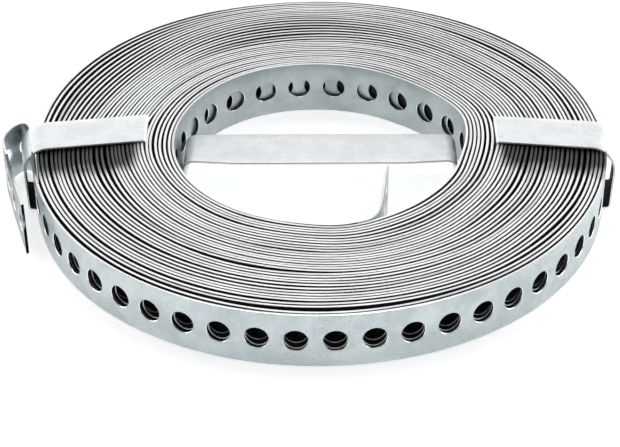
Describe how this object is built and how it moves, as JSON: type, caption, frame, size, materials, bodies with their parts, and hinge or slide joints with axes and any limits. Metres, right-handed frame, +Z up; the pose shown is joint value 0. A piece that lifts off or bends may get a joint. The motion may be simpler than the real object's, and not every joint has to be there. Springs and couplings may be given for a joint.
{
  "type": "coil of perforated steel strap",
  "caption": "Flat coil of galvanised perforated steel strap with loose inner and outer ends, held by a plain flat binding strip woven across its bore.",
  "frame": {"origin": "where the coil's axis meets the surface that it lies on", "axes": "+Z up along the coil's axis, +X along the binding strip away from the outer loose end, +Y to the back of the picture's view"},
  "size_m": [0.1805, 0.1687, 0.019],
  "materials": {
    "strap_steel": "galvanised",
    "binding_steel": "galvanised"
  },
  "bodies": {
    "root": {"perforated_strap": "strap_steel", "binding_strip": "binding_steel"}
  },
  "joints": []
}
